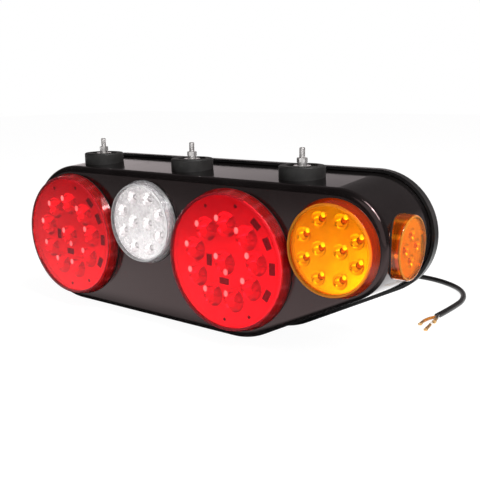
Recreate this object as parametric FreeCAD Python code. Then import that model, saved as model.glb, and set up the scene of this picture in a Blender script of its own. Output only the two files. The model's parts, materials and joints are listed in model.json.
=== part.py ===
import FreeCAD, Part
import math
import os

# Trailer lighting board: a moulded rear lamp pod with four round LED lamps on its front,
# a side marker on its right end and three rubber-mounted studs on its top.
# Millimetres. X runs along the pod, the lamps face -Y, Z is up.
# The origin is at the middle of the pod's footprint, on the surface that it stands on.

V = FreeCAD.Vector
X_AXIS = V(1, 0, 0)
Y_AXIS = V(0, 1, 0)
Z_AXIS = V(0, 0, 1)

# Round lamps on the front panel
BIG_LENS_R = 61.0
SMALL_LENS_R = 37.3
LENS_FLARE = 3.0
BIG_PROUD = 11.6
SMALL_PROUD = 10.1
LAMP_GAP = 0.9
LENS_WALL = 2.5
LENS_FACE_T = 2.2
LENS_RIM_W = 3.2
LENS_RIM_H = 0.7
LENS_EDGE_R = 1.2
GASKET_T = 1.0
FIT_GAP = 0.3

# Lamp bodies, seen from the lens backwards
FLANGE_T = 1.5
FLANGE_SEAT_W = 2.7
BODY_WALL = 2.0
BODY_FLOOR_T = 3.0
BODY_REAR_BOSS_R = 9.0
BODY_REAR_BOSS_T = 3.0
TRAY_FRONT_GAP = 1.2
TRAY_DEPTH = 8.4
BOARD_T = 1.6
RETAINER_W = 4.0
RETAINER_T = 3.0

# LED patterns: the radius of each ring, how many LEDs stand on it and the angle of the first one
BIG_RING_R = [0.0, 34.0]
BIG_RING_COUNT = [1, 9]
BIG_RING_DEG = [0.0, 86.0]
SMALL_RING_R = [9.5, 25.5]
SMALL_RING_COUNT = [2, 8]
SMALL_RING_DEG = [0.0, 22.5]
MARKER_RING_COUNT = [4]
MARKER_RING_DEG = [90.0]
BIG_LED_R = 3.5
SMALL_LED_R = 2.5
LED_STEM = 2.4

# Optic trays: a thin plate with a wall round its edge, which carries a bowl round each LED
PLATE_T = 1.2
BOWL_WALL = 1.0
BIG_BOWL_R = 11.2
BIG_BOWL_DEPTH = 7.2
SMALL_BOWL_R = 6.6
SMALL_BOWL_DEPTH = 4.8
MARKER_BOWL_R = 5.6
MARKER_BOWL_DEPTH = 3.6

# Slots and small holes through the big trays' plates, by radius and angle, and windows in their walls
SLOT_LENGTH = 6.0
SLOT_WIDTH = 10.5
SLOT_R = [50.0, 50.0, 50.0, 50.0, 17.0, 17.0]
SLOT_DEG = [48.0, 26.0, 1.0, -27.0, 180.0, 268.0]
HOLE_R = 1.7
HOLE_RING_R = 52.0
HOLE_DEG = [113.0, 76.0, -60.0, -91.0]
WINDOW_COUNT = 18
WINDOW_W = 17.0
WINDOW_RAIL = 0.8

# Housing: the right end's arc stands higher than the others, and the big lamps sit a little low
EDGE_MARGIN = 6.9
END_RISE = 25.1
LAMP_DROP = 0.3
DRAFT_DEG = 4.1
FRONT_FILLET_R = 6.0
WALL = 3.0
HOUSING_DEPTH = 75.9

# Rear cover, its seal and its screws
SEAL_T = 1.0
COVER_T = 3.0
COVER_PAD_T = 2.6
COVER_PAD_INSET = 17.0
COVER_PAD_EDGE_R = 1.6
SKIRT_T = 2.6
SKIRT_CLEAR = 0.4
SKIRT_REACH = 5.2
SKIRT_EDGE_R = 1.0
BOSS_R = 4.5
BOSS_LENGTH = 20.0
BOSS_SINK = 1.0
PILOT_R = 2.0
SCREW_CLEAR = 0.1
COVER_HOLE_R = 2.3
SCREW_LENGTH = 14.0
SCREW_HEAD_R = 4.0
SCREW_HEAD_H = 2.4
SCREW_HEAD_CHAMFER = 0.8
SCREW_SOCKET_R = 1.6
SCREW_SOCKET_DEPTH = 1.3

# Rubber-mounted studs on the top
STUD_PITCH = 122.5
STUD_SHIFT = -18.5
STUD_BACK = 32.7
STUD_R = 2.5
THREAD_STEP = 0.26
STUD_HOLE_CLEAR = 0.25
STUD_ABOVE_SEAT = 16.3
STUD_CHAMFER = 0.6
ISOLATOR_R = 20.0
ISOLATOR_H = 10.2
ISOLATOR_EDGE_R = 1.4
DISH_R = 13.5
DISH_DEPTH = 1.5
PAD_R = 11.0
PAD_DROP = 2.0
FLAT_WASHER_R = 7.5
FLAT_WASHER_T = 1.2
INNER_WASHER_R = 7.5
INNER_WASHER_T = 1.2
SPRING_WASHER_R = 4.3
SPRING_WASHER_T = 2.6
SPRING_SLIT_W = 0.9
NUT_FLATS = 8.0
NUT_H = 4.0
NUT_TURN_DEG = 30.0
NUT_CHAMFER = 0.5
BOLT_HEAD_H = 3.5

# Side marker on the right end
MARKER_R = 26.0
MARKER_PROUD = 5.4
MARKER_FRONT_GAP = 3.5
MARKER_SEAT_W = 5.5
MARKER_RING_IN = 7.4
MARKER_REACH_IN = 10.5
MARKER_FACE_T = 2.2
MARKER_EDGE_R = 1.6
MARKER_GASKET_T = 0.8
MARKER_TRAY_T = 4.5

# Cable, its grommet and the wiring inside
CABLE_R = 2.9
CABLE_CLEAR = 0.1
CABLE_X = 48.0
CABLE_Z = 35.0
GROMMET_R = 6.0
GROMMET_TIP_R = 4.2
GROMMET_FLANGE_R = 9.0
GROMMET_FLANGE_T = 2.0
GROMMET_TAIL = 16.0
BLOCK_W = 46.0
BLOCK_H = 24.0
BLOCK_DEPTH = 14.0
BLOCK_EDGE_R = 2.0
POCKET_CLEAR = 0.8
LEAD_R = 2.0
LEAD_STUB = 20.0
LEAD_SPACING = 8.0
CORE_R = 1.15
CORE_LIFT = 0.1
CORE_BEND_AT = 0.4

# Points of the cable past its straight run out of the grommet, by hand, down to the floor and to its bare end
CABLE_EXIT_RUN = 44.8
CABLE_POINTS = [
    (47.0, 129.0, 22.0),
    (45.0, 168.0, 6.0),
    (49.0, 214.0, 3.0),
    (66.0, 251.0, 3.0),
    (97.0, 273.0, 3.0),
    (136.0, 272.0, 3.0),
    (173.0, 250.0, 3.0),
    (190.0, 214.0, 3.0),
    (190.0, 174.0, 3.0),
    (187.0, 141.0, 3.0),
]
# How far each bare core runs on past the sheath, sideways and along
CORE_SPLAY = [(-8.0, 40.0), (3.5, 29.0), (-7.0, 20.0)]

# Worked-out lamp places
BIG_BASE_R = BIG_LENS_R + LENS_FLARE
SMALL_BASE_R = SMALL_LENS_R + LENS_FLARE
SMALL_RAISE = BIG_LENS_R - SMALL_LENS_R
LAMP_PITCH = math.sqrt((BIG_BASE_R + SMALL_BASE_R + LAMP_GAP) ** 2 - SMALL_RAISE ** 2)

# Worked-out outline of the housing
SLOPE = math.tan(math.radians(DRAFT_DEG))
BIG_OUTLINE_R = BIG_BASE_R + EDGE_MARGIN
END_OUTLINE_R = BIG_OUTLINE_R - END_RISE
REAR_GROW = HOUSING_DEPTH * SLOPE
RIM_GROW = REAR_GROW + SKIRT_CLEAR + SKIRT_T
BOARD_DEPTH = HOUSING_DEPTH + SEAL_T + COVER_T + max(COVER_PAD_T, SCREW_HEAD_H)

# Places in the part's frame
LEFT_LAMP_X = (BIG_OUTLINE_R - END_OUTLINE_R - 3.0 * LAMP_PITCH) / 2.0
LAMP_X = [LEFT_LAMP_X + i * LAMP_PITCH for i in range(4)]
PANEL_Y = (BIG_PROUD - BOARD_DEPTH) / 2.0
OUTLINE_Z = BIG_OUTLINE_R + RIM_GROW
END_Z = OUTLINE_Z + END_RISE
BIG_Z = OUTLINE_Z - LAMP_DROP
SMALL_Z = BIG_Z + SMALL_RAISE
REAR_Y = PANEL_Y + HOUSING_DEPTH
COVER_Y = REAR_Y + SEAL_T
COVER_REAR_Y = COVER_Y + COVER_T
RECESS_Y = COVER_Y + COVER_PAD_T
GROMMET_Y = RECESS_Y - GROMMET_FLANGE_T
CABLE_Y = GROMMET_Y - POCKET_CLEAR
CABLE_ROUTE = [(CABLE_X, CABLE_Y, CABLE_Z), (CABLE_X, CABLE_Y + CABLE_EXIT_RUN, CABLE_Z)] + CABLE_POINTS
STUD_Y = PANEL_Y + STUD_BACK
STUD_X = [STUD_SHIFT + (i - 1) * STUD_PITCH + (LAMP_X[1] + LAMP_X[2]) / 2.0 for i in range(3)]
TOP_Z = OUTLINE_Z + BIG_OUTLINE_R + STUD_BACK * SLOPE
MARKER_HOLE_R = MARKER_R - MARKER_SEAT_W
MARKER_BACK = MARKER_R + MARKER_FRONT_GAP
MARKER_Y = PANEL_Y + MARKER_BACK
END_WALL_X = LAMP_X[3] + END_OUTLINE_R + MARKER_BACK * SLOPE
marker_face_x = END_WALL_X + MARKER_PROUD
marker_end_x = END_WALL_X - MARKER_REACH_IN

parts = {}


def polar(x, z, radius, degrees, y):
    a = math.radians(degrees)
    return V(x + radius * math.cos(a), y, z + radius * math.sin(a))


def outline(y, grow):
    """The pod's outline at depth y: the hull of three circles, each grown by the same amount."""
    big = BIG_OUTLINE_R + grow
    end = END_OUTLINE_R + grow
    left, middle, right = LAMP_X[0], LAMP_X[2], LAMP_X[3]
    run = right - middle
    tangent = math.degrees(math.atan2(END_RISE, run) - math.acos((big - end) / math.hypot(run, END_RISE)))

    def arc(x, z, radius, start, stop):
        middle_angle = (start + stop) / 2.0
        ends = [polar(x, z, radius, a, y) for a in (start, middle_angle, stop)]
        return Part.Arc(*ends).toShape()

    def line(a, b):
        return Part.LineSegment(a, b).toShape()

    right_arc = arc(right, END_Z, end, 90.0, tangent)
    middle_arc = arc(middle, OUTLINE_Z, big, tangent, -90.0)
    left_arc = arc(left, OUTLINE_Z, big, -90.0, -270.0)
    top = line(polar(left, OUTLINE_Z, big, 90.0, y), polar(right, END_Z, end, 90.0, y))
    slant = line(polar(right, END_Z, end, tangent, y), polar(middle, OUTLINE_Z, big, tangent, y))
    bottom = line(polar(middle, OUTLINE_Z, big, -90.0, y), polar(left, OUTLINE_Z, big, -90.0, y))
    return Part.Wire([top, right_arc, slant, middle_arc, bottom, left_arc])


def tapered(y0, grow0, y1, grow1):
    return Part.makeLoft([outline(y0, grow0), outline(y1, grow1)], True, True)


def slab(y, grow, thickness):
    return Part.Face(outline(y, grow)).extrude(Y_AXIS * thickness)


def wall_grow(y):
    return (y - PANEL_Y) * SLOPE


def edges_at(shape, y):
    return [e for e in shape.Edges if all(abs(v.Y - y) < 1e-5 for v in e.Vertexes)]


def along_y(x, z, y, radius, length):
    return Part.makeCylinder(radius, length, V(x, y, z), Y_AXIS)


def along_z(x, y, z, radius, height):
    return Part.makeCylinder(radius, height, V(x, y, z), Z_AXIS)


def marker_disc(x, radius, length):
    return Part.makeCylinder(radius, length, V(x, MARKER_Y, END_Z), X_AXIS)


def turned(profile, origin, direction):
    """A solid turned from (radius, depth) points, its depth running from origin along direction."""
    points = [V(r, 0, t) for r, t in profile]
    face = Part.Face(Part.makePolygon(points + points[:1]))
    solid = face.revolve(V(0, 0, 0), Z_AXIS, 360)
    solid.Placement = FreeCAD.Placement(origin, FreeCAD.Rotation(Z_AXIS, direction))
    return solid


def ring_places(radii, counts, first_angles):
    """The radius and angle of each place on some rings."""
    for radius, count, first in zip(radii, counts, first_angles):
        for i in range(count):
            yield radius, first + 360.0 * i / count


def radial_box(origin, degrees, radius, length, width, depth):
    """A box that points out from a lamp's axis, its middle at the radius, its depth running along Y."""
    box = Part.makeBox(length, depth, width, V(radius - length / 2.0, 0, -width / 2.0))
    box.Placement = FreeCAD.Placement(origin, FreeCAD.Rotation(Y_AXIS, -degrees))
    return box


def ball(mouth, direction, radius, depth, wall):
    """A ball that fills a bowl of this mouth radius and depth, grown by the bowl's wall."""
    ball_r = (radius ** 2 + depth ** 2) / (2.0 * depth)
    return Part.makeSphere(ball_r + wall, mouth + direction * (depth - ball_r))


def led(seat, direction, radius):
    """A domed LED that stands on its board."""
    stem = Part.makeCylinder(radius, LED_STEM, seat, direction)
    dome = Part.makeSphere(radius, seat + direction * LED_STEM, direction, 0, 90)
    return stem.fuse(dome).removeSplitter()


def hexagon(x, y, z, flats, height):
    corners = flats / math.sqrt(3.0)
    angles = [math.radians(NUT_TURN_DEG + 60 * i) for i in range(7)]
    points = [V(x + corners * math.cos(a), y + corners * math.sin(a), z) for a in angles]
    return Part.Face(Part.makePolygon(points)).extrude(Z_AXIS * height)


def bend_radius(before, point, after):
    a = point - before
    b = after - point
    turn = a.getAngle(b)
    return 0.45 * min(a.Length, b.Length) / math.tan(turn / 2.0), turn


def tube(points, radius):
    """A round tube along straight runs joined by tangent arcs, with its length and bend radii."""
    points = [V(*p) for p in points]
    edges = []
    radii = []
    start = points[0]
    for before, point, after in zip(points, points[1:], points[2:]):
        bend, turn = bend_radius(before, point, after)
        back = (before - point).normalize()
        on = (after - point).normalize()
        reach = bend * math.tan(turn / 2.0)
        middle = (back + on).normalize() * (bend / math.cos(turn / 2.0) - bend)
        first = point + back * reach
        last = point + on * reach
        edges.append(Part.LineSegment(start, first).toShape())
        edges.append(Part.Arc(first, point + middle, last).toShape())
        radii.append(bend)
        start = last
    edges.append(Part.LineSegment(start, points[-1]).toShape())
    path = Part.Wire(edges)
    section = Part.Wire(Part.makeCircle(radius, points[0], points[1] - points[0]))
    return path.makePipeShell([section], True, True), path.Length, radii


def add(name, *solids):
    """Keeps one solid, or a group of separate solids, under a node's name."""
    shapes = []
    for shape in solids:
        shapes.extend(shape.Solids)
    parts[name] = shapes[0] if len(shapes) == 1 else Part.makeCompound(shapes)


# Front lamps
def front_lamp(name, x, z, lens_r, proud, bowl_r, bowl_depth, led_r, led_rings, slots, holes, window_count):
    """One round lamp: lens, gasket, optic tray, LEDs on their board, body and retaining ring."""
    base_r = lens_r + LENS_FLARE
    depth = proud - GASKET_T
    y = PANEL_Y - proud
    flare = LENS_FLARE / depth
    face_back = LENS_RIM_H + LENS_FACE_T
    inner_front = lens_r - LENS_WALL + flare * face_back
    origin = V(x, y, z)
    lens = turned([
        (0, LENS_RIM_H), (lens_r - LENS_RIM_W, LENS_RIM_H), (lens_r - LENS_RIM_W, 0), (lens_r, 0),
        (base_r, depth), (base_r - LENS_WALL, depth), (inner_front, face_back), (0, face_back),
    ], origin, Y_AXIS)
    rim = [e for e in edges_at(lens, y) if abs(e.BoundBox.XLength - 2 * lens_r) < 1e-3]
    add(name + "_lens", lens.makeFillet(LENS_EDGE_R, rim))

    flange_r = base_r - LENS_WALL - FIT_GAP - flare * FLANGE_T
    hole_r = flange_r - FLANGE_SEAT_W
    gasket = along_y(x, z, y + depth, base_r, GASKET_T)
    add(name + "_gasket", gasket.cut(along_y(x, z, y + depth, hole_r, GASKET_T)))

    tray_front = face_back + TRAY_FRONT_GAP
    tray_back = tray_front + TRAY_DEPTH
    flange_front = depth - FLANGE_T
    cup_outer = hole_r - FIT_GAP
    cup_inner = cup_outer - BODY_WALL
    floor_front = tray_back + BOARD_T
    floor_back = floor_front + BODY_FLOOR_T
    boss_back = floor_back + BODY_REAR_BOSS_T
    add(name + "_body", turned([
        (cup_inner, flange_front), (flange_r, flange_front), (flange_r, depth), (cup_outer, depth),
        (cup_outer, floor_back), (BODY_REAR_BOSS_R, floor_back), (BODY_REAR_BOSS_R, boss_back),
        (0, boss_back), (0, floor_front), (cup_inner, floor_front),
    ], origin, Y_AXIS))

    board = along_y(x, z, y + tray_back, cup_inner - FIT_GAP, BOARD_T)
    add(name + "_led_board", board)

    tray_r = inner_front - FIT_GAP
    plate_back = origin + Y_AXIS * (tray_front + PLATE_T)
    wall_depth = flange_front - tray_front - PLATE_T
    tray = along_y(x, z, y + tray_front, tray_r, PLATE_T + wall_depth)
    tray = tray.cut(along_y(x, z, plate_back.y, tray_r - BOWL_WALL, wall_depth))
    openings = [radial_box(plate_back, 360.0 * i / window_count, tray_r, 4.0 * BOWL_WALL, WINDOW_W,
                           wall_depth - WINDOW_RAIL) for i in range(window_count)]
    openings += [radial_box(origin + Y_AXIS * tray_front, angle, radius, SLOT_LENGTH, SLOT_WIDTH, PLATE_T)
                 for radius, angle in slots]
    openings += [Part.makeCylinder(HOLE_R, PLATE_T, polar(x, z, HOLE_RING_R, angle, y + tray_front), Y_AXIS)
                 for angle in holes]
    collar_r = led_r + FIT_GAP
    leds = []
    for radius, angle in ring_places(*led_rings):
        mouth = polar(x, z, radius, angle, y + tray_front)
        shell = ball(mouth, Y_AXIS, bowl_r, bowl_depth, BOWL_WALL)
        shell = shell.common(Part.makeCylinder(2.0 * bowl_r, TRAY_DEPTH, mouth, Y_AXIS))
        collar = Part.makeCylinder(collar_r + BOWL_WALL, TRAY_DEPTH, mouth, Y_AXIS)
        tray = tray.fuse([shell, collar])
        openings.append(ball(mouth, Y_AXIS, bowl_r, bowl_depth, 0.0))
        openings.append(Part.makeCylinder(collar_r, TRAY_DEPTH, mouth, Y_AXIS))
        leds.append(led(mouth + Y_AXIS * TRAY_DEPTH, -Y_AXIS, led_r))
    tray = tray.cut(openings)
    add(name + "_optic_tray", tray.removeSplitter())
    add(name + "_leds", *leds)

    retainer = along_y(x, z, PANEL_Y + WALL, hole_r + RETAINER_W, RETAINER_T)
    add(name + "_retainer", retainer.cut(along_y(x, z, PANEL_Y + WALL, cup_outer, RETAINER_T)))
    return hole_r, V(x, y + boss_back, z)


lamp_holes = []
lead_starts = []
BIG_LEDS = (BIG_RING_R, BIG_RING_COUNT, BIG_RING_DEG)
BIG_SLOTS = list(zip(SLOT_R, SLOT_DEG))
SMALL_LEDS = (SMALL_RING_R, SMALL_RING_COUNT, SMALL_RING_DEG)
BIG_LAMP = (BIG_Z, BIG_LENS_R, BIG_PROUD, BIG_BOWL_R, BIG_BOWL_DEPTH, BIG_LED_R, BIG_LEDS, BIG_SLOTS,
            HOLE_DEG, WINDOW_COUNT)
SMALL_LAMP = (SMALL_Z, SMALL_LENS_R, SMALL_PROUD, SMALL_BOWL_R, SMALL_BOWL_DEPTH, SMALL_LED_R, SMALL_LEDS,
              [], [], 0)
FRONT_LAMPS = [
    ("stop_lamp_outer", BIG_LAMP),
    ("reverse_lamp", SMALL_LAMP),
    ("stop_lamp_inner", BIG_LAMP),
    ("indicator_lamp", SMALL_LAMP),
]
for lamp_x, (lamp, (lamp_z, *sizes)) in zip(LAMP_X, FRONT_LAMPS):
    hole_r, rear_point = front_lamp(lamp, lamp_x, lamp_z, *sizes)
    lamp_holes.append(along_y(lamp_x, lamp_z, PANEL_Y, hole_r, WALL))
    lead_starts.append((rear_point, Y_AXIS))

# Housing: a drafted shell, open at the back, with its front edge rounded inside and out
skin = tapered(PANEL_Y, 0.0, REAR_Y, REAR_GROW)
skin = skin.makeFillet(FRONT_FILLET_R, edges_at(skin, PANEL_Y))
hollow = tapered(PANEL_Y + WALL, wall_grow(PANEL_Y + WALL) - WALL, REAR_Y, REAR_GROW - WALL)
hollow = hollow.makeFillet(FRONT_FILLET_R - WALL, edges_at(hollow, PANEL_Y + WALL))
housing = skin.cut(hollow)

# Screw bosses along the inside of the wall, level with the housing's back edge
boss_in = WALL + BOSS_R - BOSS_SINK
big_in = BIG_OUTLINE_R + REAR_GROW - boss_in
end_in = END_OUTLINE_R + REAR_GROW - boss_in
slant_angle = math.degrees(math.atan2(END_RISE, LAMP_PITCH)
                           - math.acos(END_RISE / math.hypot(LAMP_PITCH, END_RISE)))
slant_from = polar(LAMP_X[2], OUTLINE_Z, big_in, slant_angle, REAR_Y)
slant_to = polar(LAMP_X[3], END_Z, end_in, slant_angle, REAR_Y)
screw_points = [
    polar(LAMP_X[0], OUTLINE_Z, big_in, 180.0, REAR_Y),
    polar((LAMP_X[0] + LAMP_X[1]) / 2.0, OUTLINE_Z, big_in, 90.0, REAR_Y),
    polar((LAMP_X[2] + LAMP_X[1]) / 2.0, OUTLINE_Z, big_in, 90.0, REAR_Y),
    polar((LAMP_X[0] + LAMP_X[1]) / 2.0, OUTLINE_Z, big_in, -90.0, REAR_Y),
    polar((LAMP_X[2] + LAMP_X[1]) / 2.0, OUTLINE_Z, big_in, -90.0, REAR_Y),
    polar(LAMP_X[3], END_Z, end_in, 0.0, REAR_Y),
    (slant_from + slant_to) * 0.5,
]
for p in screw_points:
    boss = along_y(p.x, p.z, REAR_Y - BOSS_LENGTH, BOSS_R, BOSS_LENGTH)
    housing = housing.fuse(boss.common(skin))
for p in screw_points:
    housing = housing.cut(along_y(p.x, p.z, REAR_Y - BOSS_LENGTH + WALL, PILOT_R, BOSS_LENGTH))

# Level pads under the top wall, where the mounting bolts' heads pull up
pad_z = TOP_Z - WALL - PAD_R * SLOPE - PAD_DROP
for stud_x in STUD_X:
    pad = along_z(stud_x, STUD_Y, pad_z, PAD_R, WALL + PAD_DROP + 2.0 * PAD_R * SLOPE)
    housing = housing.fuse(pad.common(skin))
for stud_x in STUD_X:
    bore = along_z(stud_x, STUD_Y, pad_z, STUD_R + STUD_HOLE_CLEAR, ISOLATOR_H + WALL + PAD_DROP)
    housing = housing.cut(bore)
for hole in lamp_holes:
    housing = housing.cut(hole)

housing = housing.cut(marker_disc(marker_end_x, MARKER_HOLE_R, marker_face_x - marker_end_x))
add("housing", housing.removeSplitter())

# Seal and rear cover, a shallow tray whose skirt laps over the housing's back edge
seal = slab(REAR_Y, REAR_GROW, SEAL_T).cut(slab(REAR_Y, REAR_GROW - WALL, SEAL_T))
add("rear_cover_seal", seal)
rim_front = REAR_Y - SKIRT_REACH
cover = slab(rim_front, RIM_GROW, COVER_REAR_Y - rim_front)
cover = cover.makeFillet(SKIRT_EDGE_R, edges_at(cover, COVER_REAR_Y))
cover = cover.cut(slab(rim_front, REAR_GROW + SKIRT_CLEAR, COVER_Y - rim_front))
pad = slab(COVER_REAR_Y, RIM_GROW - COVER_PAD_INSET, COVER_PAD_T)
pad = pad.makeFillet(COVER_PAD_EDGE_R, edges_at(pad, COVER_REAR_Y + COVER_PAD_T))
cover = cover.fuse(pad)
cover = cover.cut(slab(COVER_Y, RIM_GROW - COVER_PAD_INSET - COVER_T, COVER_PAD_T))
for p in screw_points:
    cover = cover.cut(along_y(p.x, p.z, COVER_Y, COVER_HOLE_R, COVER_T))
cover = cover.cut(along_y(CABLE_X, CABLE_Z, RECESS_Y, GROMMET_R, COVER_T))
add("rear_cover", cover.removeSplitter())

screws = []
for p in screw_points:
    shank = along_y(p.x, p.z, COVER_REAR_Y - SCREW_LENGTH, PILOT_R - SCREW_CLEAR, SCREW_LENGTH)
    head = along_y(p.x, p.z, COVER_REAR_Y, SCREW_HEAD_R, SCREW_HEAD_H)
    head = head.makeChamfer(SCREW_HEAD_CHAMFER, edges_at(head, COVER_REAR_Y + SCREW_HEAD_H))
    socket_y = COVER_REAR_Y + SCREW_HEAD_H - SCREW_SOCKET_DEPTH
    socket = hexagon(0, 0, 0, 2 * SCREW_SOCKET_R, SCREW_SOCKET_DEPTH)
    socket.Placement = FreeCAD.Placement(V(p.x, socket_y, p.z), FreeCAD.Rotation(Z_AXIS, Y_AXIS))
    screws.append(shank.fuse(head).cut(socket))
add("rear_cover_screws", *screws)

# Mounting hardware on the top
seat_z = TOP_Z + ISOLATOR_H - DISH_DEPTH
spring_z = seat_z + FLAT_WASHER_T
nut_z = spring_z + SPRING_WASHER_T
thread_z = nut_z + NUT_H
tip_z = seat_z + STUD_ABOVE_SEAT
under_z = pad_z - INNER_WASHER_T
bolts = []
flat_washers = []
inner_washers = []
spring_washers = []
nuts = []
for stud_x, side in zip(STUD_X, ("left", "centre", "right")):
    bore_r = STUD_R + STUD_HOLE_CLEAR
    low_z = TOP_Z - ISOLATOR_R * SLOPE
    disc = along_z(stud_x, STUD_Y, low_z, ISOLATOR_R, TOP_Z + ISOLATOR_H - low_z)
    rim = [e for e in disc.Edges if e.BoundBox.ZLength < 1e-6 and e.BoundBox.ZMin > TOP_Z]
    disc = disc.makeFillet(ISOLATOR_EDGE_R, rim).cut(skin)
    disc = disc.cut(along_z(stud_x, STUD_Y, seat_z, DISH_R, DISH_DEPTH))
    add("isolator_" + side, disc.cut(along_z(stud_x, STUD_Y, low_z, bore_r, ISOLATOR_H + ISOLATOR_R)))

    shank = along_z(stud_x, STUD_Y, under_z, STUD_R - THREAD_STEP, thread_z - under_z)
    thread = along_z(stud_x, STUD_Y, thread_z, STUD_R, tip_z - thread_z)
    tip = [e for e in thread.Edges if e.BoundBox.ZMin > tip_z - 1e-6]
    head = hexagon(stud_x, STUD_Y, under_z - BOLT_HEAD_H, NUT_FLATS, BOLT_HEAD_H)
    bolts.append(thread.makeChamfer(STUD_CHAMFER, tip).fuse([shank, head]))
    hole = along_z(stud_x, STUD_Y, under_z, bore_r, tip_z - under_z)
    flat_washers.append(along_z(stud_x, STUD_Y, seat_z, FLAT_WASHER_R, FLAT_WASHER_T).cut(hole))
    inner_washers.append(along_z(stud_x, STUD_Y, under_z, INNER_WASHER_R, INNER_WASHER_T).cut(hole))
    slit = Part.makeBox(SPRING_WASHER_R, SPRING_SLIT_W, SPRING_WASHER_T,
                        V(stud_x, STUD_Y - SPRING_SLIT_W / 2.0, spring_z))
    spring = along_z(stud_x, STUD_Y, spring_z, SPRING_WASHER_R, SPRING_WASHER_T)
    spring_washers.append(spring.cut(hole).cut(slit))
    corner_r = NUT_FLATS / math.sqrt(3.0)
    dome = Part.makeCone(corner_r, corner_r - NUT_CHAMFER, NUT_CHAMFER,
                         V(stud_x, STUD_Y, nut_z + NUT_H - NUT_CHAMFER), Z_AXIS)
    dome = dome.fuse(along_z(stud_x, STUD_Y, nut_z, corner_r, NUT_H - NUT_CHAMFER))
    nuts.append(hexagon(stud_x, STUD_Y, nut_z, NUT_FLATS, NUT_H).common(dome).cut(hole))
add("mounting_bolts", *bolts)
add("flat_washers", *flat_washers)
add("inner_washers", *inner_washers)
add("spring_washers", *spring_washers)
add("mounting_nuts", *nuts)

# Side marker: a round lamp whose skirt is trimmed to the curved end wall
tap = tapered(PANEL_Y, MARKER_GASKET_T, REAR_Y, REAR_GROW + MARKER_GASKET_T)
marker_root = LAMP_X[3] + END_OUTLINE_R / 2.0
lens = marker_disc(marker_root, MARKER_R, marker_face_x - marker_root)
front = [e for e in lens.Edges if e.BoundBox.XMin > marker_face_x - 1e-6]
lens = lens.makeFillet(MARKER_EDGE_R, front)
cavity = marker_disc(marker_root, MARKER_R - LENS_WALL, marker_face_x - MARKER_FACE_T - marker_root)
add("side_marker_lens", lens.cut(cavity).cut(tap))
ring = marker_disc(marker_root, MARKER_R, marker_face_x - marker_root)
ring = ring.cut(marker_disc(marker_root, MARKER_HOLE_R, marker_face_x - marker_root))
add("side_marker_gasket", ring.common(tap).cut(skin))

cup_outer = MARKER_HOLE_R - FIT_GAP
cup_inner = cup_outer - BODY_WALL
tray_x = marker_face_x - MARKER_FACE_T - TRAY_FRONT_GAP
tray_end = tray_x - MARKER_TRAY_T
board_x = tray_end - BOARD_T
body_front = tray_x - PLATE_T - FIT_GAP
body = marker_disc(marker_end_x, cup_outer, body_front - marker_end_x)
body = body.cut(marker_disc(board_x, cup_inner, body_front - board_x))
add("side_marker_body", body)
add("side_marker_led_board", marker_disc(board_x, cup_inner - FIT_GAP, BOARD_T))
brim_grow = MARKER_GASKET_T + FIT_GAP
brim_tap = tapered(PANEL_Y, brim_grow, REAR_Y, REAR_GROW + brim_grow)
brim_tap = brim_tap.cut(marker_disc(marker_root, cup_outer, marker_face_x - marker_root))
brim = marker_disc(tray_x - PLATE_T, MARKER_R - LENS_WALL - FIT_GAP, PLATE_T).cut(brim_tap)
tray = marker_disc(tray_end, cup_inner - FIT_GAP, MARKER_TRAY_T).fuse(brim)
leds = []
marker_ring_r = [cup_inner - FIT_GAP - MARKER_RING_IN]
for radius, angle in ring_places(marker_ring_r, MARKER_RING_COUNT, MARKER_RING_DEG):
    a = math.radians(angle)
    seat = V(tray_end, MARKER_Y + radius * math.cos(a), END_Z + radius * math.sin(a))
    mouth = seat + X_AXIS * MARKER_TRAY_T
    tray = tray.cut(ball(mouth, -X_AXIS, MARKER_BOWL_R, MARKER_BOWL_DEPTH, 0.0))
    tray = tray.cut(Part.makeCylinder(SMALL_LED_R + FIT_GAP, MARKER_TRAY_T, seat, X_AXIS))
    leds.append(led(seat, X_AXIS, SMALL_LED_R))
add("side_marker_optic_tray", tray.removeSplitter())
add("side_marker_leds", *leds)
lead_starts.append((V(marker_end_x, MARKER_Y, END_Z), -X_AXIS))

# Grommet, wiring block, lamp leads and cable
pad_y = RECESS_Y + COVER_T
tail_y = pad_y + GROMMET_FLANGE_T
grommet = turned([
    (0, GROMMET_Y), (GROMMET_FLANGE_R, GROMMET_Y), (GROMMET_FLANGE_R, RECESS_Y), (GROMMET_R, RECESS_Y),
    (GROMMET_R, pad_y), (GROMMET_FLANGE_R, pad_y), (GROMMET_FLANGE_R, tail_y), (GROMMET_R, tail_y),
    (GROMMET_TIP_R, tail_y + GROMMET_TAIL), (0, tail_y + GROMMET_TAIL),
], V(CABLE_X, 0, CABLE_Z), Y_AXIS)
cable_bore = along_y(CABLE_X, CABLE_Z, GROMMET_Y, CABLE_R + CABLE_CLEAR, tail_y + GROMMET_TAIL - GROMMET_Y)
add("cable_grommet", grommet.cut(cable_bore))

block_front = RECESS_Y - BLOCK_DEPTH
block = Part.makeBox(BLOCK_W, BLOCK_DEPTH, BLOCK_H,
                     V(CABLE_X - BLOCK_W / 2.0, block_front, CABLE_Z - BLOCK_H / 2.0))
block = block.makeFillet(BLOCK_EDGE_R, edges_at(block, block_front))
pocket = along_y(CABLE_X, CABLE_Z, CABLE_Y, GROMMET_FLANGE_R + POCKET_CLEAR, RECESS_Y - CABLE_Y)
add("wiring_block", block.cut(pocket))

leads = []
for i, (start, direction) in enumerate(lead_starts):
    end = V(CABLE_X + (i - 2) * LEAD_SPACING, block_front, CABLE_Z)
    route = [start, start + direction * LEAD_STUB, end - Y_AXIS * LEAD_STUB, end]
    leads.append(tube(route, LEAD_R)[0])
add("lamp_leads", *leads)

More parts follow.
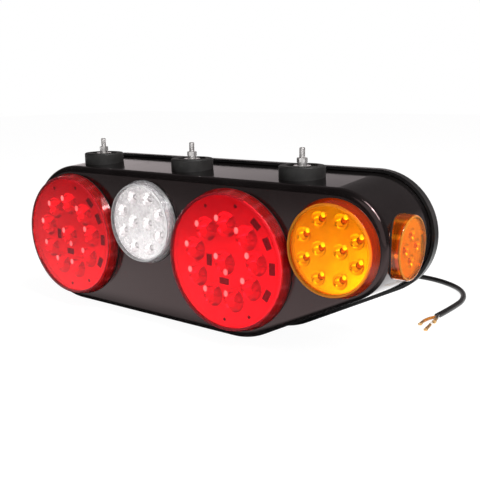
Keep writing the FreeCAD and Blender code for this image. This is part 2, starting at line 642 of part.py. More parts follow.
cable, cable_length, cable_radii = tube(CABLE_ROUTE, CABLE_R)
add("cable", cable)
print("cable length %.1f mm, radii %s" % (cable_length, [round(r) for r in cable_radii]))
print("cable volume %.0f of %.0f" % (cable.Volume, math.pi * CABLE_R ** 2 * cable_length))

# Three bare cores fan out of the sheath's end, two of them down to the floor and one above
sheath_end = V(*CABLE_ROUTE[-1])
along = (sheath_end - V(*CABLE_ROUTE[-2])).normalize()
sideways = along.cross(Z_AXIS)
cores = []
for i, (splay, reach) in enumerate(CORE_SPLAY):
    across = sideways * ((i % 2 - 0.5) * 2.0 * (CORE_R + CORE_LIFT))
    up = Z_AXIS * ((i // 2 - 0.5) * 2.0 * (CORE_R + CORE_LIFT))
    start = sheath_end + across + up
    core_end = sheath_end + sideways * splay + along * reach
    core_end.z = CORE_R + CORE_LIFT + i // 2 * 2.0 * (CORE_R + CORE_LIFT)
    bend = start + along * (reach * CORE_BEND_AT)
    cores.append(tube([start, bend, core_end], CORE_R)[0])
add("conductor_ends", *cores)

os.makedirs("parts", exist_ok=True)
for node, shape in parts.items():
    shape.exportStep("parts/%s.step" % node)
print("%d nodes" % len(parts))
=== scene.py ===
import json
import math

import bmesh
import bpy
from mathutils import Matrix, Vector


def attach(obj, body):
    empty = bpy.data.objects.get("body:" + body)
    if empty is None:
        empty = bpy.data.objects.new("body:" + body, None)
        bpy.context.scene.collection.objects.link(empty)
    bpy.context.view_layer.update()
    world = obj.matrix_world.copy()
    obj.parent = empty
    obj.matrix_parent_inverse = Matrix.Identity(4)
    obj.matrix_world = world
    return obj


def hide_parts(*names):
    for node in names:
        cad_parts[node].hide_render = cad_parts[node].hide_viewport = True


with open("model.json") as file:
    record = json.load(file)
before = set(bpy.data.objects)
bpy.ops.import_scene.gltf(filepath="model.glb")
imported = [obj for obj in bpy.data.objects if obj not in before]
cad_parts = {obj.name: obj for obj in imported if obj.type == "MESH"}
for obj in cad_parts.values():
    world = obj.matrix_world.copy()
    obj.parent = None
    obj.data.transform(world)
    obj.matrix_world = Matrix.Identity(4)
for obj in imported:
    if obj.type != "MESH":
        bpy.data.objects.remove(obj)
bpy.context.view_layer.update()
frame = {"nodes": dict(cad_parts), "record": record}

BODY = "root"

# Camera, fitted to the photograph: place in metres, angles in radians, focal length in pixels
FRAME_PX = 480.0
FOCAL_PX = 681.15
SENSOR_MM = 36.0
CLIP_START = 0.01
CAMERA_AT = (0.4203, -0.4946, 0.2231)
CAMERA_YAW = -0.6453
CAMERA_PITCH = -0.2132
CAMERA_ROLL = -0.0103

# Cable: the route's points, in metres, and its size
CABLE_DIAMETER = 0.0058
CABLE_POINTS = [
    (0.048, 0.04125, 0.035),
    (0.048, 0.08605, 0.035),
    (0.047, 0.129, 0.022),
    (0.045, 0.168, 0.006),
    (0.049, 0.214, 0.003),
    (0.066, 0.251, 0.003),
    (0.097, 0.273, 0.003),
    (0.136, 0.272, 0.003),
    (0.173, 0.250, 0.003),
    (0.190, 0.214, 0.003),
    (0.190, 0.174, 0.003),
    (0.187, 0.141, 0.003),
]

# Cores at the cable's bare end: how far each runs past the sheath, sideways and along, the share of it
# that is covered, and the side push of its bend
CORE_R = 0.00115
CORE_LIFT = 0.0001
CORE_BEND_AT = 0.4
CORE_SPLAY = [(-0.008, 0.040), (0.0035, 0.029), (-0.007, 0.020)]
CORE_COVERED = [0.66, 0.7, 0.6]
CORE_BULGE = [-0.002, 0.006, -0.002]
CORE_STEPS = 24
COVER_R = 0.0016

# Strands of each core: one in the middle and the rest round it, which twist and spread to the tip
STRANDS = 7
STRAND_R = 0.0006
STRAND_CLOSE = 0.0009
STRAND_FLARE = 0.0014
STRAND_TWIST_DEG = 140.0
STRAND_TUCK = 0.03

# Thread on the studs
THREAD_PITCH = 0.0008

# Painted highlights behind the lenses, glowing spots: each lamp's rings, as radius, count and first angle
# in degrees, and the spots' shift and size
BIG_GLINTS = [(0.0, 1, 0.0), (0.034, 9, 88.0), (0.0168, 1, -51.0)]
BIG_GLINT_SHIFT = (-0.0091, 0.0045)
BIG_GLINT_R = 0.0027
SMALL_GLINTS = [(0.0095, 2, 0.0), (0.0255, 8, 22.5)]
SMALL_GLINT_SHIFT = (0.0042, 0.0042)
SMALL_GLINT_R = 0.0021
GLINT_TALL = 1.2
GLINT_DEPTH = 0.0035
GLINT_T = 0.0004

# Lens plastic: how clear and glossy the face, its rim and the wall round it are, and the wall's ribs
LENS_IOR = 1.49
FACE_GLOSS = 0.2
WALL_GLOSS = 0.5
# Painted highlight on the face's rim: how soft its start is and how clear the rim stays
RIM_SOFT = 0.04
RIM_CLEAR = 0.3
RIB_SHARE = 0.22
RIB_SOFT = 0.06

# The lenses' looks: face low, high and clearness; wall, ribs and clearness; the painted highlight on the
# rim, its colour, where it starts and how strong it is; gloss of the face and of the edge
RED = ((0.95, 0.048, 0.082), (0.99, 0.06, 0.095), 0.93)
RED_WALL = ((0.80, 0.030, 0.030), (1.0, 0.09, 0.10), 0.80)
RED_RIM_HIGHLIGHT = ((1.0, 0.14, 0.19), 0.91, 0.25)
RED_TINTS = ((1.0, 0.06, 0.08), (1.0, 0.70, 0.70))
RED_RIBS = 26.0
CLEAR = ((0.98, 0.98, 0.98), (1.0, 0.995, 0.995), 0.98)
CLEAR_WALL = ((0.90, 0.89, 0.91), (0.98, 0.97, 0.98), 0.82)
CLEAR_RIM_HIGHLIGHT = ((0.97, 0.96, 0.97), 0.86, 0.7)
CLEAR_TINTS = ((1.0, 1.0, 1.0), (1.0, 1.0, 1.0))
CLEAR_RIBS = 40.0
AMBER = ((1.0, 0.45, 0.004), (1.0, 0.515, 0.008), 0.95)
AMBER_WALL = ((0.55, 0.035, 0.0), (0.62, 0.045, 0.0), 0.65)
AMBER_RIM_HIGHLIGHT = ((1.0, 0.27, 0.04), 0.855, 0.75)
AMBER_TINTS = ((1.0, 0.4, 0.1), (1.0, 0.8, 0.75))
MARKER = ((1.0, 0.36, 0.003), (1.0, 0.43, 0.006), 0.95)
MARKER_WALL = ((0.55, 0.10, 0.002), (0.88, 0.28, 0.008), 0.75)
MARKER_RIM_HIGHLIGHT = ((1.0, 0.34, 0.06), 0.90, 0.7)
MARKER_RIBS = 11.0
OPTIC_FACET = 0.0042

# Studio floor: its colour and its light to the camera, and the light of its parts as it is seen in glossy
# pieces and through the lenses, with painted shade under the board and painted pools of light
FLOOR_SIZE = 12.0
FLOOR_COLOUR = (0.85, 0.85, 0.85, 1.0)
FLOOR_CAMERA_GLOW = 1.2
FLOOR_CAMERA_SHARE = 0.8
FLOOR_GLOW = 1.7
FLOOR_FAR_GLOW = 0.45
# Painted shade: the floor's light under and just before the board, as seen in glossy pieces
FLOOR_UNDER_GLOW = 0.02
# Painted pools of light that only the lenses see: in front, at the far right corner and to the right
FLOOR_POOL_GLOW = 8.0
FLOOR_CORNER_GLOW = 1.1
FLOOR_RIGHT_GLOW = 0.25
FLOOR_LEFT_SHARE = 0.7
FLOOR_BESIDE_SHARE = 0.75
FLOOR_EDGE_SHARE = 0.15

# Where the floor's light starts and stops to change, along x or y
FAR_Y = (-0.15, -0.75)
LEFT_X = (-0.45, -0.20)
BEFORE_Y = (-0.05, -0.09)
BEHIND_Y = (0.06, 0.10)
BEHIND_END_X = (0.24, 0.34)
BESIDE_X = (0.22, 0.30)
BESIDE_END_Y = (0.0, 0.10)
POOL_X = (0.02, 0.10)
POOL_NEAR_Y = (-0.20, -0.26)
POOL_FAR_Y = (-0.38, -0.46)
CORNER_X = (0.25, 0.35)
CORNER_Y = (0.05, 0.12)
RIGHT_X = (-0.28, -0.10)

# Studio room: a low backdrop behind the board, by the direction it lies in, and a dim room round it
ROOM_COLOUR = (1.0, 0.90, 0.91, 1.0)
BACKDROP_Z = (0.17, 0.30)
BACKDROP_Y = (0.0, 0.35)
BACKDROP_X = (0.1, 0.75)
BACKDROP_GLOW = 0.85
BACKDROP_ABOVE = 0.1
ROOM_X = (-0.2, 0.6)
ROOM_GLOW_LEFT = 0.05
ROOM_GLOW_RIGHT = 0.2
LENS_ROOM_GLOW = 0.95

# Lights: place, size and power
LIGHT_TARGET = (0.0, 0.0, 0.08)
KEY_AT = (1.02, -0.36, 1.36)
FILL_AT = (0.6, -0.9, 0.5)
LIGHTS = {
    "key": (KEY_AT, (0.16, 0.16), 9.0),
    "strip": (KEY_AT, (0.36, 1.0), 17.0),
    "fill": (FILL_AT, (1.2, 1.2), 4.0),
}


# Material building blocks
def fade(tree, value, start, stop, first, last):
    """A value that runs from first to last while another one runs from start to stop."""
    node = tree.nodes.new("ShaderNodeMapRange")
    node.inputs["From Min"].default_value = start
    node.inputs["From Max"].default_value = stop
    node.inputs["To Min"].default_value = first
    node.inputs["To Max"].default_value = last
    tree.links.new(value, node.inputs["Value"])
    return node.outputs["Result"]


def combine(tree, kind, a, b):
    """Two values put together by a kind of sum, the second one a socket or a plain number."""
    node = tree.nodes.new("ShaderNodeMath")
    node.operation = kind
    tree.links.new(a, node.inputs[0])
    if isinstance(b, float):
        node.inputs[1].default_value = b
    else:
        tree.links.new(b, node.inputs[1])
    return node.outputs[0]


def change(tree, kind, a):
    """One value changed by a kind of sum that needs no second one."""
    node = tree.nodes.new("ShaderNodeMath")
    node.operation = kind
    tree.links.new(a, node.inputs[0])
    return node.outputs[0]


def split_axes(tree, vector):
    node = tree.nodes.new("ShaderNodeSeparateXYZ")
    tree.links.new(vector, node.inputs[0])
    return node.outputs


def new_material(name, colour, roughness, **sockets):
    """A material with its plain values set on the shader's own sockets."""
    mat = bpy.data.materials.new(name)
    mat.use_nodes = True
    shader = mat.node_tree.nodes["Principled BSDF"]
    shader.inputs["Base Color"].default_value = (*colour, 1.0)
    shader.inputs["Roughness"].default_value = roughness
    for socket, value in sockets.items():
        shader.inputs[socket.replace("_", " ")].default_value = value
    return mat


def texture(mat, kind, **sockets):
    """A texture of some kind over the object's own coordinates."""
    tree = mat.node_tree
    coords = tree.nodes.new("ShaderNodeTexCoord")
    tex = tree.nodes.new(kind)
    for socket, value in sockets.items():
        tex.inputs[socket].default_value = value
    tree.links.new(coords.outputs["Object"], tex.inputs["Vector"])
    return tex


def noise(mat, scale, detail=4.0):
    return texture(mat, "ShaderNodeTexNoise", Scale=scale, Detail=detail).outputs["Fac"]


def ramp(mat, value, low, high, start=0.35, stop=0.65):
    """A colour ramp from low to high over a stretch of the value."""
    node = mat.node_tree.nodes.new("ShaderNodeValToRGB")
    node.color_ramp.elements[0].position = start
    node.color_ramp.elements[0].color = (*low, 1.0)
    node.color_ramp.elements[1].position = stop
    node.color_ramp.elements[1].color = (*high, 1.0)
    mat.node_tree.links.new(value, node.inputs["Fac"])
    return node.outputs["Color"]


def spread(mat, value, low, high):
    return fade(mat.node_tree, value, 0.0, 1.0, low, high)


def to_shader(mat, socket, output):
    mat.node_tree.links.new(output, mat.node_tree.nodes["Principled BSDF"].inputs[socket])


def bump(mat, height, strength, distance):
    node = mat.node_tree.nodes.new("ShaderNodeBump")
    node.inputs["Strength"].default_value = strength
    node.inputs["Distance"].default_value = distance
    mat.node_tree.links.new(height, node.inputs["Height"])
    to_shader(mat, "Normal", node.outputs["Normal"])


def blend(mat, factor, first, last):
    """A colour between two others, each of them a plain colour or a socket."""
    node = mat.node_tree.nodes.new("ShaderNodeMix")
    node.data_type = "RGBA"
    mat.node_tree.links.new(factor, node.inputs["Factor"])
    for socket, colour in (("A", first), ("B", last)):
        if isinstance(colour, tuple):
            node.inputs[socket].default_value = (*colour, 1.0)
        else:
            mat.node_tree.links.new(colour, node.inputs[socket])
    return node.outputs["Result"]


# Plastics, rubber and metals
def gloss_black():
    mat = new_material("gloss_black_plastic", (0.005, 0.0045, 0.0045), 0.12,
                       Specular_Tint=(1.0, 0.7, 0.7, 1.0))
    to_shader(mat, "Base Color", ramp(mat, noise(mat, 30.0), (0.004, 0.0035, 0.0035), (0.007, 0.006, 0.006)))
    to_shader(mat, "Roughness", spread(mat, noise(mat, 55.0), 0.08, 0.17))
    bump(mat, noise(mat, 420.0, 2.0), 0.04, 0.0004)
    return mat


def satin_black():
    mat = new_material("satin_black_plastic", (0.008, 0.008, 0.008), 0.36, Specular_IOR_Level=0.35)
    to_shader(mat, "Base Color", ramp(mat, noise(mat, 40.0), (0.006, 0.006, 0.006), (0.011, 0.010, 0.010)))
    to_shader(mat, "Roughness", spread(mat, noise(mat, 80.0), 0.30, 0.44))
    bump(mat, noise(mat, 1500.0, 2.0), 0.15, 0.0002)
    return mat


def black_rubber():
    mat = new_material("black_rubber", (0.013, 0.013, 0.013), 0.62)
    to_shader(mat, "Base Color", ramp(mat, noise(mat, 120.0), (0.007, 0.0065, 0.006), (0.016, 0.015, 0.014)))
    to_shader(mat, "Roughness", spread(mat, noise(mat, 200.0), 0.5, 0.75))
    bump(mat, noise(mat, 2200.0, 3.0), 0.3, 0.0002)
    return mat


def cable_sheath():
    mat = new_material("black_cable_sheath", (0.006, 0.006, 0.006), 0.42, Specular_IOR_Level=0.3)
    to_shader(mat, "Base Color", ramp(mat, noise(mat, 90.0), (0.004, 0.004, 0.004), (0.010, 0.009, 0.009)))
    to_shader(mat, "Roughness", spread(mat, noise(mat, 260.0), 0.34, 0.5))
    bump(mat, noise(mat, 900.0, 2.0), 0.2, 0.0002)
    return mat


def wire_cover(name, low, high):
    mat = new_material(name, high, 0.4)
    to_shader(mat, "Base Color", ramp(mat, noise(mat, 600.0), low, high))
    bump(mat, noise(mat, 1500.0, 2.0), 0.2, 0.0002)
    return mat


def zinc_steel(name):
    mat = new_material(name, (0.80, 0.79, 0.79), 0.28, Metallic=0.8)
    to_shader(mat, "Base Color", ramp(mat, noise(mat, 260.0), (0.50, 0.485, 0.475), (0.72, 0.70, 0.69)))
    to_shader(mat, "Roughness", spread(mat, noise(mat, 500.0), 0.18, 0.36))
    bump(mat, noise(mat, 3000.0, 2.0), 0.1, 0.0001)
    return mat


def threaded_steel():
    """Zinc-plated steel with the fine ridges of a thread round it."""
    mat = zinc_steel("zinc_plated_thread")
    ridges = texture(mat, "ShaderNodeTexWave", Scale=2.0 * math.pi / (20.0 * THREAD_PITCH))
    ridges.bands_direction = "Z"
    bump(mat, ridges.outputs["Fac"], 0.35, 0.0003)
    return mat


def bare_copper():
    mat = new_material("bare_copper", (0.62, 0.33, 0.13), 0.35, Metallic=1.0)
    to_shader(mat, "Base Color", ramp(mat, noise(mat, 900.0), (0.62, 0.34, 0.12), (0.88, 0.58, 0.27)))
    to_shader(mat, "Roughness", spread(mat, noise(mat, 1500.0), 0.25, 0.5))
    bump(mat, noise(mat, 2600.0, 2.0), 0.5, 0.0003)
    return mat


# Lamp parts
def facing(mat, axis):
    """One on faces that look along the axis, none on the walls that run along it."""
    tree = mat.node_tree
    place = tree.nodes.new("ShaderNodeNewGeometry")
    along = change(tree, "ABSOLUTE", split_axes(tree, place.outputs["True Normal"])[axis])
    return fade(tree, along, 0.35, 0.9, 0.0, 1.0)


def round_place(mat, across):
    """The place round a lens and out from its middle, both from 0 to 1, by the lens's own box."""
    tree = mat.node_tree
    coords = tree.nodes.new("ShaderNodeTexCoord")
    place = split_axes(tree, coords.outputs["Generated"])
    a = fade(tree, place[across], 0.0, 1.0, -1.0, 1.0)
    b = fade(tree, place["Z"], 0.0, 1.0, -1.0, 1.0)
    turn = fade(tree, combine(tree, "ARCTAN2", b, a), -math.pi, math.pi, 0.0, 1.0)
    squares = combine(tree, "ADD", combine(tree, "MULTIPLY", a, a), combine(tree, "MULTIPLY", b, b))
    return turn, change(tree, "SQRT", squares)


def ribs(mat, turn, count):
    """One on narrow ribs round the lens, none between them."""
    tree = mat.node_tree
    part = change(tree, "FRACT", combine(tree, "MULTIPLY", turn, count))
    return fade(tree, part, RIB_SHARE, RIB_SHARE + RIB_SOFT, 1.0, 0.0)


def lens_plastic(name, face_look, wall_look, rim, tints, axis="Y", across="X", rib_count=0.0):
    """Coloured plastic: clear on its face and darker on the wall round it, with a painted highlight that
    makes the face's rim paler.
    """
    low, high, clear = face_look
    wall, rib, wall_clear = wall_look
    rim_highlight_colour, rim_from, rim_share = rim
    mat = new_material(name, high, 0.03, IOR=LENS_IOR)
    tree = mat.node_tree
    face = facing(mat, axis)
    turn, out = round_place(mat, across)
    # Painted highlight: the face's rim is paler and less clear
    rim_highlight = combine(tree, "MULTIPLY", fade(tree, out, rim_from, rim_from + RIM_SOFT, 0.0, rim_share), face)
    face_colour = blend(mat, rim_highlight, ramp(mat, noise(mat, 45.0), low, high), rim_highlight_colour)
    wall_colour = blend(mat, ribs(mat, turn, rib_count), wall, rib)
    to_shader(mat, "Base Color", blend(mat, face, wall_colour, face_colour))
    to_shader(mat, "Specular Tint", ramp(mat, face, *reversed(tints), 0.0, 1.0))
    to_shader(mat, "Specular IOR Level", fade(tree, face, 0.0, 1.0, WALL_GLOSS, FACE_GLOSS))
    clearness = fade(tree, face, 0.0, 1.0, wall_clear, clear)
    rim_clearness = fade(tree, rim_highlight, 0.0, 1.0, 1.0, RIM_CLEAR)
    to_shader(mat, "Transmission Weight", combine(tree, "MULTIPLY", clearness, rim_clearness))
    to_shader(mat, "Roughness", spread(mat, noise(mat, 70.0), 0.015, 0.045))
    return mat


def metallised(name, low, high, smooth, rough, metal=1.0):
    mat = new_material(name, high, rough, Metallic=metal)
    to_shader(mat, "Base Color", ramp(mat, noise(mat, 120.0), low, high))
    to_shader(mat, "Roughness", spread(mat, noise(mat, 300.0), smooth, rough))
    bump(mat, noise(mat, 700.0, 2.0), 0.12, 0.0003)
    return mat


def patchwork(name, low, high, cell):
    """A pale, dull reflector broken up into small square facets of different greys."""
    mat = metallised(name, low, high, 0.2, 0.34, 0.45)
    tree = mat.node_tree
    cells = texture(mat, "ShaderNodeTexVoronoi", Scale=1.0 / cell, Randomness=0.7)
    cells.distance = "CHEBYCHEV"
    split = tree.nodes.new("ShaderNodeSeparateColor")
    tree.links.new(cells.outputs["Color"], split.inputs[0])
    to_shader(mat, "Base Color", ramp(mat, split.outputs[0], low, high, 0.0, 0.6))
    bump(mat, split.outputs[1], 0.35, 0.0006)
    return mat


def led_chip(name, low, high):
    mat = new_material(name, high, 0.12)
    to_shader(mat, "Base Color", ramp(mat, noise(mat, 900.0), low, high))
    bump(mat, noise(mat, 1800.0, 2.0), 0.1, 0.0002)
    return mat


def circuit_board():
    mat = new_material("circuit_board", (0.01, 0.06, 0.025), 0.4)
    to_shader(mat, "Base Color", ramp(mat, noise(mat, 350.0), (0.008, 0.05, 0.02), (0.014, 0.08, 0.035)))
    bump(mat, noise(mat, 1200.0, 2.0), 0.2, 0.0002)
    return mat


def glint(name, light, low, high):
    """Painted highlight: each bead's front glows, most in its middle; its metal is like the optic elsewhere.
    """
    mat = new_material(name, (0.93, 0.93, 0.92), 0.25, Metallic=1.0, Emission_Color=(*light, 1.0))
    tree = mat.node_tree
    place = tree.nodes.new("ShaderNodeNewGeometry")
    front = fade(tree, split_axes(tree, place.outputs["Normal"])["Y"], -0.91, -0.998, 0.0, 1.0)
    level = spread(mat, noise(mat, 90.0), low, high)
    to_shader(mat, "Emission Strength", combine(tree, "MULTIPLY", front, level))
    return mat


# The material of each slot
SATIN_BLACK = satin_black()
MATERIALS = {
    "housing": gloss_black(),
    "cover": SATIN_BLACK,
    "red_lens": lens_plastic("red_lens_plastic", RED, RED_WALL, RED_RIM_HIGHLIGHT, RED_TINTS, rib_count=RED_RIBS),
    "clear_lens": lens_plastic("clear_lens_plastic", CLEAR, CLEAR_WALL, CLEAR_RIM_HIGHLIGHT, CLEAR_TINTS,
                               rib_count=CLEAR_RIBS),
    "amber_lens": lens_plastic("amber_lens_plastic", AMBER, AMBER_WALL, AMBER_RIM_HIGHLIGHT, AMBER_TINTS),
    "optic": metallised("metallised_optic", (0.88, 0.88, 0.87), (0.96, 0.96, 0.95), 0.17, 0.27),
    "led": led_chip("led_chip", (0.62, 0.58, 0.54), (0.86, 0.83, 0.79)),
    "led_board": circuit_board(),
    "lamp_body": SATIN_BLACK,
    "rubber": black_rubber(),
    "steel": zinc_steel("zinc_plated_steel"),
    "cable_sheath": cable_sheath(),
    "copper": bare_copper(),
}

# Nodes that differ from their slot: the clear lamp's tray and LEDs are paler, the amber lamps' LEDs are
# tinted, the marker faces along X and the studs have a thread
TINTED_LED = led_chip("led_chip_tinted", (0.62, 0.055, 0.008), (0.80, 0.085, 0.012))
NODE_MATERIALS = {
    "reverse_lamp_optic_tray": patchwork("metallised_optic_pale", (0.88, 0.85, 0.86), (1.0, 0.98, 0.98),
                                         OPTIC_FACET),
    "reverse_lamp_leds": led_chip("led_chip_pale", (0.66, 0.63, 0.64), (0.90, 0.87, 0.88)),
    "indicator_lamp_leds": TINTED_LED,
    "side_marker_leds": TINTED_LED,
    "side_marker_lens": lens_plastic("marker_lens_plastic", MARKER, MARKER_WALL, MARKER_RIM_HIGHLIGHT, AMBER_TINTS,
                                     axis="X", across="Y", rib_count=MARKER_RIBS),
    "mounting_bolts": threaded_steel(),
}

for subpart in frame["record"]["subparts"]:
    node = subpart["node"]
    slot = frame["nodes"][node].material_slots[0]
    slot.link = "OBJECT"
    slot.material = NODE_MATERIALS.get(node, MATERIALS[subpart["material_slot"]])


def new_object(name, data):
    piece = bpy.data.objects.new(name, data)
    bpy.context.collection.objects.link(piece)
    return piece


# Painted highlights: glowing beads behind the lenses
def make_glints(lamp, rings, shift, radius, mat):
    """Small flat glowing beads between a lamp's lens and its tray, one beside each LED, as painted
    highlights.
    """
    lens = frame["nodes"][lamp + "_lens"]
    corners = [lens.matrix_world @ Vector(c) for c in lens.bound_box]
    x = sum(c.x for c in corners) / len(corners) + shift[0]
    y = min(c.y for c in corners) + GLINT_DEPTH
    z = sum(c.z for c in corners) / len(corners) + shift[1]
    flat = Matrix.Diagonal((1.0, GLINT_T / radius, GLINT_TALL, 1.0))
    beads = bmesh.new()
    for ring_r, count, first in rings:
        for i in range(count):
            a = math.radians(first + 360.0 * i / count)
            place = Matrix.Translation((x + ring_r * math.cos(a), y, z + ring_r * math.sin(a)))
            bmesh.ops.create_uvsphere(beads, u_segments=20, v_segments=10, radius=radius,
                                      matrix=place @ flat)
    mesh = bpy.data.meshes.new(lamp + "_glints")
    beads.to_mesh(mesh)
    beads.free()
    mesh.shade_smooth()
    mesh.materials.append(mat)
    piece = new_object(lamp + "_glints", mesh)
    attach(piece, BODY)


# Painted highlights, which glow though the lamps are unlit
# The red lens takes most of the green and blue, so the spots behind it have more of these to look pale
RED_GLINT = glint("optic_glint_red", (0.3, 1.0, 0.6), 1.2, 9.0)
AMBER_GLINT = glint("optic_glint_amber", (1.0, 1.0, 1.0), 0.5, 2.4)
for lamp in ("stop_lamp_outer", "stop_lamp_inner"):
    make_glints(lamp, BIG_GLINTS, BIG_GLINT_SHIFT, BIG_GLINT_R, RED_GLINT)
make_glints("indicator_lamp", SMALL_GLINTS, SMALL_GLINT_SHIFT, SMALL_GLINT_R, AMBER_GLINT)


# Cores at the cable's bare end
def core_route(i):
    """The start, bend and end of a bare core, as it leaves the sheath."""
    end = Vector(CABLE_POINTS[-1])
    along = (end - Vector(CABLE_POINTS[-2])).normalized()
    sideways = along.cross(Vector((0.0, 0.0, 1.0)))
    splay, reach = CORE_SPLAY[i]
    step = 2.0 * (CORE_R + CORE_LIFT)
    start = end + sideways * ((i % 2 - 0.5) * step) + Vector((0.0, 0.0, (i // 2 - 0.5) * step))
    tip = end + sideways * splay + along * reach
    tip.z = (i // 2 + 0.5) * step
    return start, start + along * (reach * CORE_BEND_AT) + sideways * CORE_BULGE[i], tip


def curve_at(route, t):
    start, bend, tip = route
    return start * (1.0 - t) ** 2 + bend * (2.0 * t * (1.0 - t)) + tip * t ** 2


def add_wire(curve, places, radius, slot):
    spline = curve.splines.new("POLY")
    spline.points.add(len(places) - 1)
    for point, place in zip(spline.points, places):
        point.co = (place.x, place.y, max(place.z, radius), 1.0)
        point.radius = radius
    spline.material_index = slot


def add_strands(curve, route, covered):
    """The bare strands of a core, from inside its cover to its tip."""
    start, bend, tip = route
    ahead = (tip - bend).normalized()
    side = ahead.cross(Vector((0.0, 0.0, 1.0))).normalized()
    lift = side.cross(ahead)
    first = covered - STRAND_TUCK
    for strand in range(STRANDS):
        places = []
        for k in range(CORE_STEPS + 1):
            share = k / CORE_STEPS
            out = STRAND_CLOSE + (STRAND_FLARE - STRAND_CLOSE) * share ** 2 if strand else 0.0
            a = math.radians(360.0 * strand / (STRANDS - 1) + STRAND_TWIST_DEG * share)
            middle = curve_at(route, first + (1.0 - first) * share)
            places.append(middle + side * (out * math.cos(a)) + lift * (out * math.sin(a)))
        add_wire(curve, places, STRAND_R, 0)


def make_cores():
    """Covered cores whose bare strands twist and spread at their tips."""
    curve = bpy.data.curves.new("stranded_ends", "CURVE")
    curve.dimensions = "3D"
    curve.bevel_depth = 1.0
    curve.bevel_resolution = 4
    curve.use_fill_caps = True
    curve.materials.append(MATERIALS["copper"])
    curve.materials.append(wire_cover("white_wire_cover", (0.80, 0.77, 0.72), (0.90, 0.87, 0.82)))
    curve.materials.append(wire_cover("brown_wire_cover", (0.46, 0.15, 0.02), (0.62, 0.23, 0.035)))
    curve.materials.append(wire_cover("black_wire_cover", (0.012, 0.010, 0.008), (0.022, 0.019, 0.016)))
    for i, covered in enumerate(CORE_COVERED):
        route = core_route(i)
        cover = [curve_at(route, covered * k / CORE_STEPS) for k in range(CORE_STEPS + 1)]
        add_wire(curve, cover, COVER_R, i + 1)
        add_strands(curve, route, covered)
    shape = new_object("stranded_ends_curve", curve)
    bpy.context.view_layer.update()
    mesh = bpy.data.meshes.new_from_object(shape.evaluated_get(bpy.context.evaluated_depsgraph_get()))
    bpy.data.objects.remove(shape)
    piece = new_object("stranded_ends", mesh)
    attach(piece, BODY)
    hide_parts("conductor_ends")
    return piece


# Cable
def make_cable(ends):
    curve = bpy.data.curves.new("power_cable", "CURVE")
    curve.dimensions = "3D"
    curve.bevel_depth = CABLE_DIAMETER / 2.0
    curve.bevel_resolution = 6
    curve.use_fill_caps = True
    spline = curve.splines.new("NURBS")
    spline.points.add(len(CABLE_POINTS) - 1)
    for point, place in zip(spline.points, CABLE_POINTS):
        point.co = (*place, 1.0)
    spline.order_u = 3
    spline.use_endpoint_u = True
    spline.resolution_u = 16
    cable = new_object("power_cable", curve)
    curve.materials.append(MATERIALS["cable_sheath"])
    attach(cable, BODY)
    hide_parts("cable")


make_cable(make_cores())


# Studio
def floor_glow(tree, x, y):
    """Painted light and shade: bright in front of the board, behind it and at its right, dim far away, and
    painted shade under the board.
    """
    far = combine(tree, "MULTIPLY", fade(tree, y, *FAR_Y, FLOOR_GLOW, FLOOR_FAR_GLOW),
                  fade(tree, x, *LEFT_X, FLOOR_LEFT_SHARE, 1.0))
    # Painted shade under and just before the board
    before = fade(tree, y, *BEFORE_Y, FLOOR_UNDER_GLOW, 1.0)
    behind = combine(tree, "MULTIPLY", fade(tree, y, *BEHIND_Y, 0.0, 1.0),
                     fade(tree, x, *BEHIND_END_X, 1.0, FLOOR_EDGE_SHARE))
    beside = combine(tree, "MULTIPLY", fade(tree, x, *BESIDE_X, 0.0, FLOOR_BESIDE_SHARE),
                     fade(tree, y, *BESIDE_END_Y, 1.0, FLOOR_EDGE_SHARE))
    clear = combine(tree, "MAXIMUM", before, combine(tree, "MAXIMUM", behind, beside))
    return combine(tree, "MULTIPLY", far, clear)


def lens_glow(tree, x, y, level):
    """Painted pools of light that the lenses take in besides: a pool in front, the far right corner and the
    right side.
    """
    pool = combine(tree, "MULTIPLY", fade(tree, x, *POOL_X, 0.0, 1.0),
                   fade(tree, y, *POOL_NEAR_Y, 0.0, 1.0))
    pool = combine(tree, "MULTIPLY", pool, fade(tree, y, *POOL_FAR_Y, FLOOR_POOL_GLOW, 0.0))
    corner = combine(tree, "MULTIPLY", fade(tree, x, *CORNER_X, 0.0, 1.0),
                     fade(tree, y, *CORNER_Y, 0.0, FLOOR_CORNER_GLOW))
    rightward = combine(tree, "MULTIPLY", level, fade(tree, x, *RIGHT_X, 0.0, FLOOR_RIGHT_GLOW))
    return combine(tree, "ADD", rightward, combine(tree, "ADD", pool, corner))


def mix_shaders(tree, factor, first, last):
    node = tree.nodes.new("ShaderNodeMixShader")
    tree.links.new(factor, node.inputs["Fac"])
    tree.links.new(first.outputs[0], node.inputs[1])
    tree.links.new(last.outputs[0], node.inputs[2])
    return node


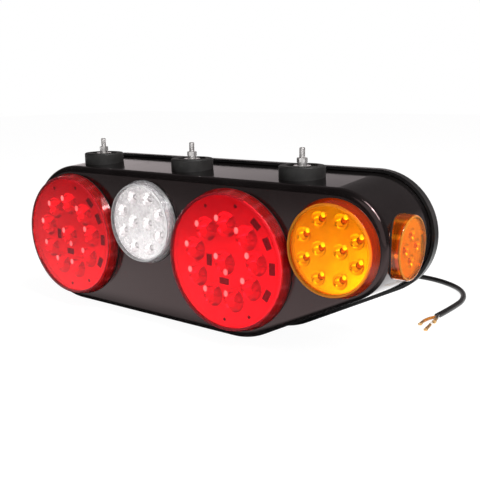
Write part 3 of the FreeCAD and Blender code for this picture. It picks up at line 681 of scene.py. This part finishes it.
def floor_material():
    """White to the camera, with part of its light left to take the shadow."""
    mat = bpy.data.materials.new("studio_floor")
    mat.use_nodes = True
    tree = mat.node_tree
    nodes, links = tree.nodes, tree.links
    nodes.clear()
    out = nodes.new("ShaderNodeOutputMaterial")
    diffuse = nodes.new("ShaderNodeBsdfDiffuse")
    diffuse.inputs["Color"].default_value = FLOOR_COLOUR
    glow = nodes.new("ShaderNodeEmission")
    glow.inputs["Strength"].default_value = FLOOR_CAMERA_GLOW
    path = nodes.new("ShaderNodeLightPath").outputs
    direct = combine(tree, "MULTIPLY", path["Is Camera Ray"], FLOOR_CAMERA_SHARE)
    seen = mix_shaders(tree, direct, diffuse, glow)
    place = split_axes(tree, nodes.new("ShaderNodeNewGeometry").outputs["Position"])
    # By place, the floor in glossy pieces and through the lenses shows painted light and shade
    level = floor_glow(tree, place["X"], place["Y"])
    more = lens_glow(tree, place["X"], place["Y"], level)
    more = combine(tree, "MULTIPLY", more, path["Is Transmission Ray"])
    sheet = nodes.new("ShaderNodeEmission")
    links.new(combine(tree, "ADD", level, more), sheet.inputs["Strength"])
    indirect = combine(tree, "MAXIMUM", path["Is Transmission Ray"], path["Is Glossy Ray"])
    links.new(mix_shaders(tree, indirect, seen, sheet).outputs[0], out.inputs["Surface"])
    return mat


def make_floor():
    mesh = bpy.data.meshes.new("studio_floor")
    half = FLOOR_SIZE / 2.0
    corners = [(-half, -half, 0), (half, -half, 0), (half, half, 0), (-half, half, 0)]
    mesh.from_pydata(corners, [], [(0, 1, 2, 3)])
    floor = new_object("studio_floor", mesh)
    mesh.materials.append(floor_material())


def make_world():
    """White to the camera. As light it is a white backdrop behind the board in a dim room."""
    world = bpy.data.worlds.new("studio_world")
    bpy.context.scene.world = world
    world.use_nodes = True
    tree = world.node_tree
    nodes, links = tree.nodes, tree.links
    nodes.clear()
    out = nodes.new("ShaderNodeOutputWorld")
    toward = split_axes(tree, nodes.new("ShaderNodeTexCoord").outputs["Generated"])
    low = fade(tree, toward["Z"], *BACKDROP_Z, 1.0, BACKDROP_ABOVE)
    behind = fade(tree, toward["Y"], *BACKDROP_Y, 0.0, 1.0)
    leftward = fade(tree, toward["X"], *BACKDROP_X, 1.0, 0.0)
    backdrop = combine(tree, "MULTIPLY", combine(tree, "MULTIPLY", low, behind), leftward)
    room = fade(tree, toward["X"], *ROOM_X, ROOM_GLOW_LEFT, ROOM_GLOW_RIGHT)
    level = combine(tree, "ADD", fade(tree, backdrop, 0.0, 1.0, 0.0, BACKDROP_GLOW), room)
    path = nodes.new("ShaderNodeLightPath").outputs
    passed = combine(tree, "MULTIPLY", path["Is Transmission Ray"], LENS_ROOM_GLOW)
    light = nodes.new("ShaderNodeBackground")
    light.inputs["Color"].default_value = ROOM_COLOUR
    links.new(combine(tree, "MAXIMUM", level, passed), light.inputs["Strength"])
    white = nodes.new("ShaderNodeBackground")
    white.inputs["Color"].default_value = (1.0, 1.0, 1.0, 1.0)
    links.new(mix_shaders(tree, path["Is Camera Ray"], light, white).outputs[0], out.inputs["Surface"])


def area_light(name, place, size, power):
    data = bpy.data.lights.new(name, "AREA")
    data.shape = "RECTANGLE"
    data.size, data.size_y = size
    data.energy = power
    lamp = new_object(name, data)
    lamp.location = place
    lamp.rotation_euler = (Vector(LIGHT_TARGET) - Vector(place)).to_track_quat("-Z", "Y").to_euler()


def make_camera():
    forward = Vector((math.sin(CAMERA_YAW) * math.cos(CAMERA_PITCH),
                      math.cos(CAMERA_YAW) * math.cos(CAMERA_PITCH), math.sin(CAMERA_PITCH)))
    right = Vector((math.cos(CAMERA_YAW), -math.sin(CAMERA_YAW), 0.0))
    up = right.cross(forward)
    side = right * math.cos(CAMERA_ROLL) + up * math.sin(CAMERA_ROLL)
    top = up * math.cos(CAMERA_ROLL) - right * math.sin(CAMERA_ROLL)
    data = bpy.data.cameras.new("camera")
    data.sensor_width = SENSOR_MM
    data.lens = FOCAL_PX / FRAME_PX * SENSOR_MM
    data.clip_start = CLIP_START
    camera = new_object("camera", data)
    turn = Matrix((side, top, -forward)).transposed()
    camera.matrix_world = Matrix.Translation(CAMERA_AT) @ turn.to_4x4()
    bpy.context.scene.camera = camera


make_floor()
make_world()
for light_name, (light_at, light_size, light_power) in LIGHTS.items():
    area_light(light_name, light_at, light_size, light_power)
make_camera()

bpy.context.scene.view_settings.view_transform = "Standard"
